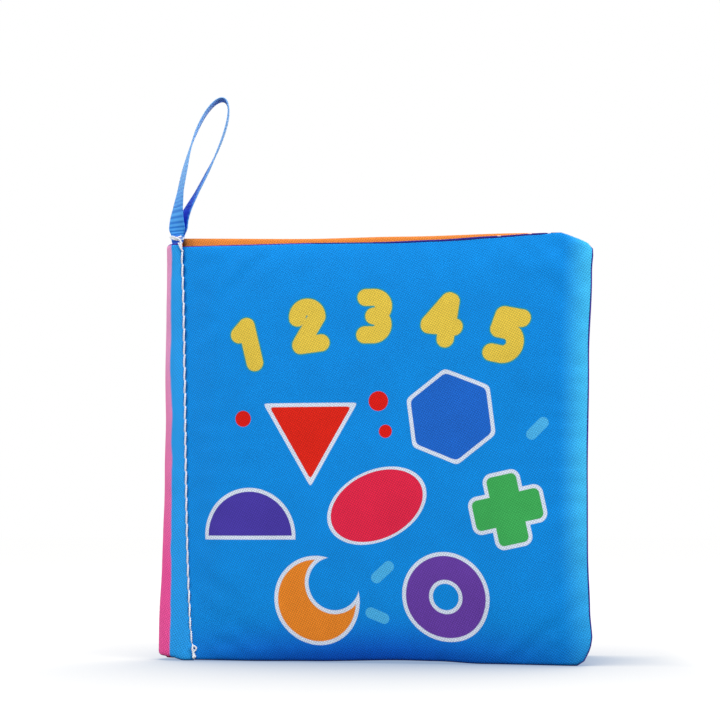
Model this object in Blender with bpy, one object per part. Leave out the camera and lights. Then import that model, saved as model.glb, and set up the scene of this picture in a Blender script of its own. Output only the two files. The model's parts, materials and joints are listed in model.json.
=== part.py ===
"""A small crinkle cloth book of four padded leaves with a ribbon strap, standing on its lower edges.

Lengths are in metres. X runs from the spine to the fore-edge, the front cover faces -Y, and Z is up.
The stitch line stands near X = 0, and the cover's outer face lies at Y = 0 before the book is centred.
"""

import math

import bmesh
import bpy
from mathutils import Vector

for old in list(bpy.data.objects):
    bpy.data.objects.remove(old, do_unlink=True)

# Leaves: the outer spread makes both covers, the inner spread makes the two leaves between them
cover_width = 0.112
cover_height = 0.115
page_setback = 0.002
page_rise = 0.0018
top_corner_run = 0.009
top_corner_drop = 0.0045
bottom_corner_run = 0.0026
bottom_corner_rise = 0.007
side_draw = 0.0014
top_draw = 0.0006

# Cloth and filling of one leaf
fabric = 0.0005
clearance = 0.0003
crown = 0.0008
crown_band = 0.016
film = 0.0002
filling_inset = 0.008

# Ribbon strap
ribbon_width = 0.006
ribbon_thickness = 0.0005
tail_depth = 0.008
tail_right = 0.0011
strap_rise = 0.0008
neck_height = 0.008
neck_bend_gap = 0.00095
neck_centre = -0.0019
loop_height = 0.030
loop_half_width = 0.0058
loop_lean = 0.0133
neck_twist = math.radians(55)
loop_twist = math.radians(87)
twist_height = 0.012

# Spine: the cloth runs on past the stitch line, rolls over and comes back behind
roll_radius = 0.0054
roll_left_top = -0.0058
roll_left_bottom = -0.0074
stitch_lean = 0.0024
back_start = 0.0012
crease_gap = 0.0003
fold_lift = 0.0003

# Stitching along the spine
stitch_pitch = 0.0036
stitch_bend = 0.0006
thread_radius = 0.00022
thread_dip = 0.00015
stitch_offset = 0.0009
stitch_margin = 0.003

# Hinges
hinge_lead = 0.0008
centre_axis_x = -0.004
front_angle = math.radians(-8)
centre_angle = math.radians(3)
back_angle = math.radians(4)

page_width = cover_width - page_setback
page_height = cover_height + page_rise
leaf_edge = 2 * fabric + clearance
layer_gap = 2 * ribbon_thickness + 2 * clearance
cover_mid = leaf_edge / 2
page_mid = cover_mid + leaf_edge + layer_gap
page_roll_radius = roll_radius - leaf_edge - layer_gap
back_page_mid = 2 * roll_radius - page_mid
back_cover_mid = 2 * roll_radius - cover_mid

column_shares = (0, 0.02, 0.055, 0.1, 0.16, 0.33, 0.5, 0.67, 0.84, 0.9, 0.945, 0.98, 1)
row_shares = (0, 0.018, 0.04, 0.065, 0.1, 0.16, 0.33, 0.5, 0.67, 0.84, 0.9, 0.945, 0.965, 0.982, 0.993, 1)
filling_shares = (0, 0.035, 0.08, 0.2, 0.4, 0.6, 0.8, 0.92, 0.965, 1)


def at_height(z, bottom, top):
    """A value that changes evenly from the foot of the book to the top of the covers."""
    return bottom + (top - bottom) * z / cover_height


def stitch_x(z):
    return at_height(z, stitch_lean / 2, -stitch_lean / 2)


def roll_centre_x(z):
    return at_height(z, roll_left_bottom, roll_left_top) + roll_radius


def fabric_material(name, colour, roughness=0.75, metallic=0.0):
    material = bpy.data.materials.new(name)
    material.use_nodes = True
    shader = material.node_tree.nodes["Principled BSDF"]
    shader.inputs["Base Color"].default_value = (*colour, 1)
    shader.inputs["Roughness"].default_value = roughness
    shader.inputs["Metallic"].default_value = metallic
    return material


def hinge_empty(name, place, angle=0.0, parent=None):
    """An empty on a joint's axis. Its place is given before any leaf is fanned out."""
    empty = bpy.data.objects.new(name, None)
    bpy.context.scene.collection.objects.link(empty)
    empty.parent = parent
    empty.location = Vector(place) - Vector(parent["unfanned"] if parent else (0, 0, 0))
    empty.rotation_euler = (0, 0, angle)
    empty["unfanned"] = Vector(place)
    return empty


def add_object(name, bm, parent, material, place=(0, 0, 0)):
    bmesh.ops.recalc_face_normals(bm, faces=bm.faces)
    mesh = bpy.data.meshes.new(name)
    bm.to_mesh(mesh)
    bm.free()
    mesh.shade_smooth()
    mesh.set_sharp_from_angle(angle=math.radians(50))
    mesh.materials.append(material)
    obj = bpy.data.objects.new(name, mesh)
    bpy.context.scene.collection.objects.link(obj)
    obj.parent = parent
    obj.location = Vector(place) - Vector(parent["unfanned"])
    return obj


def share_grid(bm, column_count, row_count):
    """A flat grid; gives its vertices with their column and row numbers."""
    bmesh.ops.create_grid(bm, x_segments=column_count - 1, y_segments=row_count - 1, size=1)
    numbered = []
    for vertex in bm.verts:
        column = round((vertex.co.x + 1) / 2 * (column_count - 1))
        row = round((vertex.co.y + 1) / 2 * (row_count - 1))
        numbered.append((vertex, column, row))
    return numbered


class LeafShape:
    """The outline and the swell of one leaf, measured from its hinge edge and its foot."""

    def __init__(self, width, height, slanted):
        self.width = width
        self.height = height
        self.slanted = slanted

    def hinge_edge(self, z):
        return stitch_x(z) + crease_gap if self.slanted else 0

    def fore_edge(self, z):
        edge = self.width - side_draw * math.sin(math.pi * z / self.height)
        into_top = (z - self.height + top_corner_drop) / top_corner_drop
        into_foot = (bottom_corner_rise - z) / bottom_corner_rise
        if into_top > 0:
            edge -= top_corner_run * (1 - math.sqrt(1 - min(into_top, 1) ** 2))
        if into_foot > 0:
            edge -= bottom_corner_run * (1 - math.sqrt(1 - min(into_foot, 1) ** 2))
        return edge

    def point(self, column_share, row_share, inset):
        z = inset + (self.height - 2 * inset) * row_share
        left = self.hinge_edge(z) + inset
        right = self.fore_edge(z) - inset
        x = left + (right - left) * column_share
        drawn = top_draw * math.sin(math.pi * column_share) * row_share ** 4
        return x, z - drawn

    def half_room(self, x, z):
        """Half the room between the two cloth panels."""
        near = min(x - self.hinge_edge(z), self.fore_edge(z) - x, z, self.height - z)
        share = min(max(near / crown_band, 0), 1)
        return clearance / 2 + crown * math.sin(math.pi / 2 * share)


def add_layer(name, shape, parent, place, material, surfaces, shares, inset=0.0):
    """One sheet of a leaf. surfaces gives its two faces, from half the room at a point."""
    columns, rows = shares
    bm = bmesh.new()
    numbered = share_grid(bm, len(columns), len(rows))
    grown = bmesh.ops.extrude_face_region(bm, geom=bm.faces[:], use_keep_orig=True)["geom"]
    bm.verts.ensure_lookup_table()
    far_side = {tuple(v.co): v for v in grown if isinstance(v, bmesh.types.BMVert)}
    for vertex, column, row in numbered:
        twin = far_side[tuple(vertex.co)]
        x, z = shape.point(columns[column], rows[row], inset)
        near_y, far_y = surfaces(shape.half_room(x, z))
        vertex.co = (x, near_y, z)
        twin.co = (x, far_y, z)
    return add_object(name, bm, parent, material, place)


def add_leaf(names, shape, parent, place, colours, facing):
    """The two cloth panels, the film and the wadding. facing is -1 where the first panel faces the front."""
    cloth_shares = (column_shares, row_shares)
    inner_shares = (filling_shares, filling_shares)
    first_panel, second_panel, film_name, wadding_name = names

    def first_faces(room):
        return facing * room, facing * (room + fabric)

    def second_faces(room):
        return -facing * room, -facing * (room + fabric)

    def film_faces(room):
        return facing * (room - clearance), facing * (room - clearance - film)

    def wadding_faces(room):
        return facing * (room - 2 * clearance - film), -facing * (room - clearance)

    first_cloth = fabric_material(first_panel, colours[0])
    second_cloth = fabric_material(second_panel, colours[1])
    crinkle = fabric_material(film_name, (0.8, 0.82, 0.85), roughness=0.2)
    fibre = fabric_material(wadding_name, (0.9, 0.9, 0.88), roughness=0.95)
    add_layer(first_panel, shape, parent, place, first_cloth, first_faces, cloth_shares)
    add_layer(second_panel, shape, parent, place, second_cloth, second_faces, cloth_shares)
    add_layer(film_name, shape, parent, place, crinkle, film_faces, inner_shares, filling_inset)
    add_layer(wadding_name, shape, parent, place, fibre, wadding_faces, inner_shares, filling_inset)


def roll_point(step, steps, z, radius, start_x, end_turn, end_x):
    """A point on the rolled cloth: from start_x in front, round the roll, to end_x behind."""
    centre_x = roll_centre_x(z)
    reach = min(max((centre_x - start_x) / radius, 0), 1)
    start_turn = math.asin(reach)
    if step == 0 and reach == 0:
        return start_x, roll_radius - radius
    if step == steps and end_x is not None:
        return end_x, roll_radius + radius
    last_arc = steps if end_x is None else steps - 1
    turn = start_turn + (end_turn - start_turn) * max(step - 1, 0) / (last_arc - 1)
    return centre_x - radius * math.sin(turn), roll_radius - radius * math.cos(turn)


def add_fold(name, parent, material, radius, thickness, foot, top, start, end_turn, end_x, steps):
    """A strip of cloth along the spine. start gives its front edge at a height."""
    rows = 8
    bm = bmesh.new()
    for vertex, column, row in share_grid(bm, steps + 1, rows + 1):
        z = foot + (top - foot) * row / rows
        x, y = roll_point(column, steps, z, radius, start(z), end_turn, end_x)
        vertex.co = (x, y, z)
    obj = add_object(name, bm, parent, material)
    thicken(obj, thickness)
    return obj


def thicken(obj, thickness):
    modifier = obj.modifiers.new("thickness", "SOLIDIFY")
    modifier.thickness = thickness
    modifier.offset = 0
    modifier.use_even_offset = True


def outside_seam(z, rise):
    """A point of the seam on the rolled cloth in front, standing off the cloth by rise."""
    x = stitch_x(z) - stitch_offset
    reach = max((roll_centre_x(z) - x) / roll_radius, 0)
    return x, roll_radius - roll_radius * math.sqrt(1 - reach**2) - rise


def inside_seam(z, rise):
    """A point of the seam's other side, on the second leaf's back panel beside its crease."""
    return stitch_x(z) + stitch_offset, page_mid + leaf_edge / 2 + rise


def add_stitches(name, parent, material, seam):
    """One thread down the spine: it stands up along each stitch and dips to the cloth between two."""
    low = thread_radius + thread_dip
    high = thread_radius + clearance
    first = fold_lift + stitch_margin
    count = int((cover_height - 2 * first) / stitch_pitch)
    points = []
    for number in range(count):
        foot = first + number * stitch_pitch
        for z, rise in ((foot, low), (foot + stitch_bend, high), (foot + stitch_pitch - stitch_bend, high)):
            points.append((*seam(z, rise), z, 1))
    end = first + count * stitch_pitch
    points.append((*seam(end, low), end, 1))
    curve = bpy.data.curves.new(name, "CURVE")
    curve.dimensions = "3D"
    curve.bevel_depth = thread_radius
    curve.bevel_resolution = 1
    curve.use_fill_caps = True
    spline = curve.splines.new("POLY")
    spline.points.add(len(points) - 1)
    for point, place in zip(spline.points, points):
        point.co = place
    curve.materials.append(material)
    obj = bpy.data.objects.new(name, curve)
    bpy.context.scene.collection.objects.link(obj)
    obj.parent = parent
    return obj


def add_ribbon(name, parent, material, thickness, centres, width_angles):
    """A ribbon along centres, lying across each angle, which is measured from X in plan."""
    bm = bmesh.new()
    for vertex, column, row in share_grid(bm, len(centres), 2):
        angle = width_angles[column]
        across = Vector((math.cos(angle), -math.sin(angle), 0)) * ribbon_width / 2
        vertex.co = centres[column] + across * (2 * row - 1)
    obj = add_object(name, bm, parent, material)
    thicken(obj, thickness)
    return obj


def neck_path(foot_z):
    """The doubled ribbon, flat over the tail at its foot and turning as it rises."""
    steps = 8
    centres = []
    angles = []
    for step in range(steps + 1):
        share = step / steps
        rise = (neck_height - neck_bend_gap) * share
        centres.append(Vector((neck_centre, strap_y, foot_z + rise)))
        angles.append(neck_twist * share**2 * (3 - 2 * share))
    return centres, angles


def loop_path(foot_z):
    """A drop-shaped loop that leans towards the fore-edge and turns edge-on as it rises."""
    steps = 40
    centres = []
    angles = []
    for step in range(steps + 1):
        turn = math.pi * step / steps
        rise = loop_height * math.sin(turn) ** 2
        spread = loop_half_width * math.sin(2 * turn) * math.sin(turn)
        spread += (ribbon_thickness + clearance) / 2 * math.cos(turn)
        twist = neck_twist + (loop_twist - neck_twist) * min(rise / twist_height, 1)
        x = neck_centre + loop_lean * rise / loop_height - spread * math.sin(twist)
        y = strap_y - spread * math.cos(twist)
        centres.append(Vector((x, y, foot_z + rise)))
        angles.append(twist)
    return centres, angles


blue = (0.006, 0.262, 0.791)
pink = (0.871, 0.080, 0.319)
purple = (0.068, 0.042, 0.402)
orange = (0.871, 0.254, 0.021)
yellow = (0.806, 0.584, 0.069)
green = (0.050, 0.429, 0.093)
red = (0.768, 0.017, 0.007)
sky = (0.084, 0.479, 0.855)
white = (0.855, 0.871, 0.888)

book = hinge_empty("book", (0, 0, 0))
front_hinge = hinge_empty("front_cover_axis", (0, -hinge_lead, 0), front_angle, book)
centre_hinge = hinge_empty("centre_axis", (centre_axis_x, roll_radius, 0), centre_angle, book)
back_hinge = hinge_empty(
    "back_cover_axis", (back_start, 2 * roll_radius + hinge_lead, 0), back_angle, centre_hinge
)

add_leaf(
    ("front_cover_outer_panel", "front_cover_inner_panel", "front_cover_crinkle_film", "front_cover_wadding"),
    LeafShape(cover_width, cover_height, slanted=True),
    front_hinge,
    (0, cover_mid, 0),
    (blue, purple),
    facing=-1,
)
add_leaf(
    ("second_leaf_front_panel", "second_leaf_back_panel", "second_leaf_crinkle_film", "second_leaf_wadding"),
    LeafShape(page_width, page_height, slanted=True),
    book,
    (0, page_mid, 0),
    (orange, yellow),
    facing=-1,
)
add_leaf(
    ("third_leaf_back_panel", "third_leaf_front_panel", "third_leaf_crinkle_film", "third_leaf_wadding"),
    LeafShape(page_width - back_start, page_height, slanted=False),
    centre_hinge,
    (back_start, back_page_mid, 0),
    (red, green),
    facing=1,
)
add_leaf(
    ("back_cover_outer_panel", "back_cover_inner_panel", "back_cover_crinkle_film", "back_cover_wadding"),
    LeafShape(cover_width - back_start, cover_height, slanted=False),
    back_hinge,
    (back_start, back_cover_mid, 0),
    (pink, sky),
    facing=1,
)

# The four strips of cloth that join the leaves round the spine, two to each spread
panel_step = (fabric + clearance) / 2
for name, colour, mid_radius, top in (
    ("cover_spine_outer_strip", pink, roll_radius - cover_mid + panel_step, cover_height),
    ("cover_spine_inner_strip", purple, roll_radius - cover_mid - panel_step, cover_height),
    ("page_spine_outer_strip", orange, page_roll_radius - cover_mid + panel_step, page_height),
    ("page_spine_inner_strip", yellow, page_roll_radius - cover_mid - panel_step, page_height),
):
    add_fold(
        name,
        book,
        fabric_material(name, colour),
        radius=mid_radius,
        thickness=fabric,
        foot=fold_lift,
        top=top,
        start=lambda z: stitch_x(z) - crease_gap,
        end_turn=math.pi,
        end_x=back_start - crease_gap - clearance,
        steps=14,
    )

thread = fabric_material("stitching_thread", white, roughness=0.5)
add_stitches("spine_stitching_outside", book, thread, outside_seam)
add_stitches("spine_stitching_inside", book, thread, inside_seam)

# The strap: its sewn-in tail, the doubled neck and the open loop
strap_y = leaf_edge + layer_gap / 2
strap_foot = page_height + strap_rise
tail_radius = roll_radius - strap_y
tail_turn = (ribbon_width - tail_right + roll_centre_x(cover_height)) / tail_radius
grosgrain = fabric_material("grosgrain_ribbon", (0.027, 0.275, 0.855), roughness=0.6)
neck_hinge = hinge_empty("strap_neck_axis", (neck_centre, strap_y, strap_foot), parent=book)
loop_foot = strap_foot + neck_height
loop_hinge = hinge_empty("strap_loop_axis", (neck_centre, strap_y, loop_foot), parent=neck_hinge)
add_fold(
    "strap_tail",
    book,
    grosgrain,
    radius=tail_radius,
    thickness=2 * ribbon_thickness,
    foot=page_height - tail_depth,
    top=page_height,
    start=lambda z: tail_right,
    end_turn=tail_turn,
    end_x=None,
    steps=6,
)


def add_strap_part(name, parent, thickness, path):
    centres, angles = path
    centres = [centre - Vector(parent["unfanned"]) for centre in centres]
    obj = add_ribbon(name, parent, grosgrain, thickness, centres, angles)
    obj.location = (0, 0, 0)


add_strap_part("strap_neck", neck_hinge, 2 * ribbon_thickness, neck_path(strap_foot))
add_strap_part("strap_loop", loop_hinge, ribbon_thickness, loop_path(loop_foot))


def centre_on_floor():
    """Moves the book so that its box is centred on the origin, with its foot at Z = 0."""
    bpy.context.view_layer.update()
    graph = bpy.context.evaluated_depsgraph_get()
    corners = []
    for obj in bpy.data.objects:
        if obj.type == "MESH":
            evaluated = obj.evaluated_get(graph)
            corners += [obj.matrix_world @ vertex.co for vertex in evaluated.data.vertices]
    low = [min(corner[axis] for corner in corners) for axis in range(3)]
    high = [max(corner[axis] for corner in corners) for axis in range(3)]
    book.location = (-(low[0] + high[0]) / 2, -(low[1] + high[1]) / 2, -low[2])


centre_on_floor()
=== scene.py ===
import json
from math import asin, atan2, copysign, cos, degrees, exp, hypot, pi, radians, sin, sqrt

import bmesh
import bpy
from mathutils import Matrix, Vector, noise


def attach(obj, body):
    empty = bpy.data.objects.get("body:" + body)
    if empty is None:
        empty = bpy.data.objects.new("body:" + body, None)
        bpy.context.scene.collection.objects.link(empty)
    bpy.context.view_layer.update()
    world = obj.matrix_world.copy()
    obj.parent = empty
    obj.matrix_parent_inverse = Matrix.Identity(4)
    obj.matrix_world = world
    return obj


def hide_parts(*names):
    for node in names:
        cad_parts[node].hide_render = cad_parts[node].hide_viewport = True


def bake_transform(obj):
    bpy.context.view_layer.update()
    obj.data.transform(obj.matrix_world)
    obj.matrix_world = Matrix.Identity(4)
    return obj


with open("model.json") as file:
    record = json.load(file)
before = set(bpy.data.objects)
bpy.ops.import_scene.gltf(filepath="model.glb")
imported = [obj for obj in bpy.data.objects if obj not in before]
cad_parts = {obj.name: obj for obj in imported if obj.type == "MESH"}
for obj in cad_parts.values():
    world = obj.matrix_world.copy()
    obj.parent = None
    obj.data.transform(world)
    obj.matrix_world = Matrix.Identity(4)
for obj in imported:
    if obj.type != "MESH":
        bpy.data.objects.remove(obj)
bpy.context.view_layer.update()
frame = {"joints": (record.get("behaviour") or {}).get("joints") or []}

# Camera. A long lens at the height of the lower third of the book, tilted slightly up, as in the
# photograph, and a little to the right of the book's middle.
mm = 0.001
lens_pixels = 2037
photo_pixels = 720
camera_place = Vector((18.4, -563.4, 38.2)) * mm
camera_pan = radians(2.29)
camera_tilt = radians(4.5)


def put_in(name, data):
    """A new object of the scene, at the origin."""
    thing = bpy.data.objects.new(name, data)
    bpy.context.scene.collection.objects.link(thing)
    return thing


camera_data = bpy.data.cameras.new("camera")
camera_data.sensor_width = 36
camera_data.lens = lens_pixels / photo_pixels * camera_data.sensor_width
camera = put_in("camera", camera_data)
camera.location = camera_place
camera.rotation_euler = (pi / 2 + camera_tilt, 0, camera_pan)
bpy.context.scene.camera = camera
bpy.context.scene.view_settings.view_transform = "Standard"


# Floor and light. A seamless white table with a painted soft shadow of the book beside a faint real one, a
# soft box at each side and one behind, a weaker one above, and an even white room.
def hex_colour(code):
    """An sRGB hex colour as the linear colour that Blender's sockets take."""
    values = [int(code[start:start + 2], 16) / 255 for start in (1, 3, 5)]
    linear = [v / 12.92 if v <= 0.04045 else ((v + 0.055) / 1.055) ** 2.4 for v in values]
    return (*linear, 1)


def feed(tree, node, links):
    """Sets a node's inputs, by name or in their order: each takes a node, a socket or a plain value."""
    for key, value in links.items() if isinstance(links, dict) else enumerate(links):
        if isinstance(value, bpy.types.Node):
            value = next(output for output in value.outputs if output.enabled)
        if isinstance(value, bpy.types.NodeSocket):
            tree.links.new(value, node.inputs[key])
        else:
            node.inputs[key].default_value = value


def add_node(tree, kind, links=(), operation=None, **settings):
    """A node with its operation, its other settings and its links."""
    node = tree.nodes.new("ShaderNode" + kind)
    if operation:
        node.operation = operation
    for name, value in settings.items():
        setattr(node, name, value)
    feed(tree, node, links)
    return node


def seen_directly(tree):
    """1 where the camera, a reflection or a clear piece sees the surface, otherwise 0."""
    path = add_node(tree, "LightPath")
    seen = path.outputs["Is Camera Ray"]
    for ray in ("Is Glossy Ray", "Is Transmission Ray"):
        seen = add_node(tree, "Math", (seen, path.outputs[ray]), "MAXIMUM")
    return seen


def new_material(name):
    """A material, its node tree and its shader."""
    material = bpy.data.materials.new(name)
    material.use_nodes = True
    return material, material.node_tree, material.node_tree.nodes["Principled BSDF"]


room_light = 0.30
world = bpy.data.worlds.new("studio")
world.use_nodes = True
bpy.context.scene.world = world
tree = world.node_tree
tree.nodes.clear()
shown = add_node(tree, "Background", ((1, 1, 1, 1), 1.0))
lighting = add_node(tree, "Background", ((1, 1, 1, 1), room_light))
both = add_node(tree, "MixShader", (seen_directly(tree), lighting, shown))
add_node(tree, "OutputWorld", {"Surface": both})

floor_mesh = bmesh.new()
bmesh.ops.create_grid(floor_mesh, x_segments=1, y_segments=1, size=4)
floor_data = bpy.data.meshes.new("floor")
floor_mesh.to_mesh(floor_data)
floor_mesh.free()
put_in("floor", floor_data)

# Matt white paper. To the camera it glows white with a painted bluish shadow where ambient occlusion finds
# little of the room open, kept to under the book and close by; a weak diffuse part keeps a faint real shadow
paper, tree, _ = new_material("white_table")
tree.nodes.clear()
lit = add_node(tree, "BsdfDiffuse", (hex_colour("#5E6167"),))
shown_lit = add_node(tree, "BsdfDiffuse", ((0.09, 0.085, 0.075, 1),))
near = add_node(tree, "AmbientOcclusion", {"Distance": 0.18}, samples=32)
open_sky = add_node(tree, "MapRange", (near.outputs["AO"], 0.46, 0.95))
place = add_node(tree, "SeparateXYZ", (add_node(tree, "TexCoord").outputs["Object"],))
aside = add_node(tree, "Math", (place.outputs[0],), "ABSOLUTE")
aside = add_node(tree, "MapRange", (aside, 0.050, 0.095), interpolation_type="SMOOTHSTEP")
open_sky = add_node(tree, "Math", (open_sky, aside), "MAXIMUM")
# Painted shadow: bluish where the book is near, white elsewhere
links = {0: open_sky, 6: (0.28, 0.38, 0.55, 1), 7: (0.97, 0.97, 0.97, 1)}
shade = add_node(tree, "Mix", links, data_type="RGBA")
glow = add_node(tree, "Emission", (shade, 1.0))
shown = add_node(tree, "AddShader", (shown_lit, glow))
both = add_node(tree, "MixShader", (seen_directly(tree), lit, shown))
add_node(tree, "OutputMaterial", {"Surface": both})
floor_data.materials.append(paper)

for lamp_name, place, size, energy in (
    ("soft_box_right", (0.75, -0.55, 0.45), 0.6, 6.5),
    ("soft_box_left", (-0.80, -0.45, 0.35), 0.6, 5.0),
    ("soft_box_above", (0.0, -0.25, 0.75), 0.7, 2.2),
    ("soft_box_behind", (0.20, 0.75, 0.50), 0.7, 5.5),
):
    lamp_data = bpy.data.lights.new(lamp_name, "AREA")
    lamp_data.shape = "SQUARE"
    lamp_data.size = size
    lamp_data.energy = energy
    lamp = put_in(lamp_name, lamp_data)
    lamp.location = place
    aim = Vector((0.0, 0.0, 0.07)) - Vector(place)
    lamp.rotation_euler = aim.to_track_quat("-Z", "Y").to_euler()


# Leaves. Each is two pieces of printed polyester twill sewn face to face round three sides and turned
# right side out, so the rim is a soft roll with the seam in it. A clear film that crackles and a thin
# wadding lie inside, and the fourth side is sewn down at the spine.
cover_width = 112 * mm
cover_height = 115 * mm
page_width = 110 * mm
page_height = 116.8 * mm
cloth = 0.3 * mm
rim_radius = 0.65 * mm
rim_reach = 1.0 * mm
stitched_half = 0.3 * mm
crown_band = 16 * mm
back_start = 1.2 * mm
hinge_lead = 0.8 * mm
cover_mid = 0.65 * mm
page_mid = 3.55 * mm
roll_radius = 5.4 * mm
stitch_pitch = 3.6 * mm
grid_step = 1.35 * mm
swell_step = 2.4 * mm
seam_depth = 0.74

joint_place = {joint["name"]: Vector(joint["pos_m"]) for joint in frame["joints"]}
book_place = joint_place["front_cover_hinge"] + Vector((0, hinge_lead, 0))


def ease(share):
    share = min(max(share, 0), 1)
    return share * share * (3 - 2 * share)


def along(points, place):
    """A smooth value between the given (place, value) pairs."""
    for (low, low_value), (high, high_value) in zip(points, points[1:]):
        if place <= high:
            return low_value + (high_value - low_value) * ease((place - low) / (high - low))
    return points[-1][1]


def ripple(x, z, seed, size):
    return noise.noise(Vector((x / size, z / size, seed)))


def stitch_x(z):
    """The stitch line leans: its foot lies nearer the fore-edge."""
    share = z / cover_height
    return (2.0 - 8.5 * share + 11 * share**2 - 6.3 * share**3 + 0.4 * (1 - ease(share / 0.1))) * mm


def turned(place, angle, offset):
    """The frame of a leaf that swings round a place on its hinge and lies off it by offset."""
    turn = Matrix.Rotation(radians(angle), 4, "Z")
    return Matrix.Translation(place) @ turn @ Matrix.Translation(offset)


def swelled_cloth(width, height, seed):
    """The push of the filling on both faces of a sewn leaf: two layers of cloth, 2 per cent over size and
    pinned along their seams, blown out for 20 frames. The cloth is run ten times larger than the real
    leaf, because Blender's cloth is set for pieces of about a metre. Returns the heights by grid place."""
    larger = 10
    columns, rows = round(width / swell_step), round(height / swell_step)
    bm = bmesh.new()
    number = bm.verts.layers.int.new("number")
    seam = bm.verts.layers.int.new("seam")
    for side in (-1, 1):
        for vertex in bmesh.ops.create_grid(bm, x_segments=columns, y_segments=rows, size=1)["verts"]:
            column, row = round((vertex.co.x + 1) / 2 * columns), round((vertex.co.y + 1) / 2 * rows)
            vertex[number] = ((side + 1) * (rows + 1) // 2 + row) * (columns + 1) + column
            vertex[seam] = column in (0, columns) or row in (0, rows)
            x, z = width * column / columns, height * row / rows
            dome = max(sin(pi * column / columns) * sin(pi * row / rows), 0)
            y = side * (0.3 + 0.8 * sqrt(dome)) * mm + 0.4 * mm * dome * ripple(x, z, seed + 60, 9 * mm)
            vertex.co = Vector((x, y, z)) * larger
    bmesh.ops.bridge_loops(bm, edges=[e for e in bm.edges if e.is_boundary])
    bmesh.ops.recalc_face_normals(bm, faces=bm.faces)
    numbers = [vertex[number] for vertex in bm.verts]
    held = [place for place, vertex in enumerate(bm.verts) if vertex[seam]]
    mesh = bpy.data.meshes.new("swelling")
    bm.to_mesh(mesh)
    bm.free()
    pillow = put_in("swelling", mesh)
    pillow.vertex_groups.new(name="seam").add(held, 1.0, "ADD")
    blown = pillow.modifiers.new("swelling", "CLOTH")
    for setting, value in (
        ("quality", 6), ("mass", 0.2), ("tension_stiffness", 20), ("compression_stiffness", 20),
        ("shear_stiffness", 10), ("bending_stiffness", 0.6), ("use_pressure", True),
        ("uniform_pressure_force", 4), ("shrink_min", -0.02), ("shrink_max", -0.02),
        ("vertex_group_mass", "seam"),
    ):
        setattr(blown.settings, setting, value)
    blown.settings.effector_weights.gravity = 0
    blown.collision_settings.use_collision = False
    blown.collision_settings.use_self_collision = False
    last_frame = 20
    blown.point_cache.frame_start = 1
    blown.point_cache.frame_end = last_frame
    for frame_number in range(1, last_frame + 1):
        bpy.context.scene.frame_set(frame_number)
    swelled = pillow.evaluated_get(bpy.context.evaluated_depsgraph_get()).data
    heights = {place: abs(vertex.co.y) / larger for place, vertex in zip(numbers, swelled.vertices)}
    bpy.data.objects.remove(pillow)
    bpy.context.scene.frame_set(1)
    return columns, rows, heights


def soft_step(before, low, high, after, share):
    """A value between low and high on a soft curve through all four."""
    bend = 2 * before - 5 * low + 4 * high - after
    sharper = 3 * low - before - 3 * high + after
    return low + (share * (high - before) + share**2 * bend + share**3 * sharper) / 2


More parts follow.
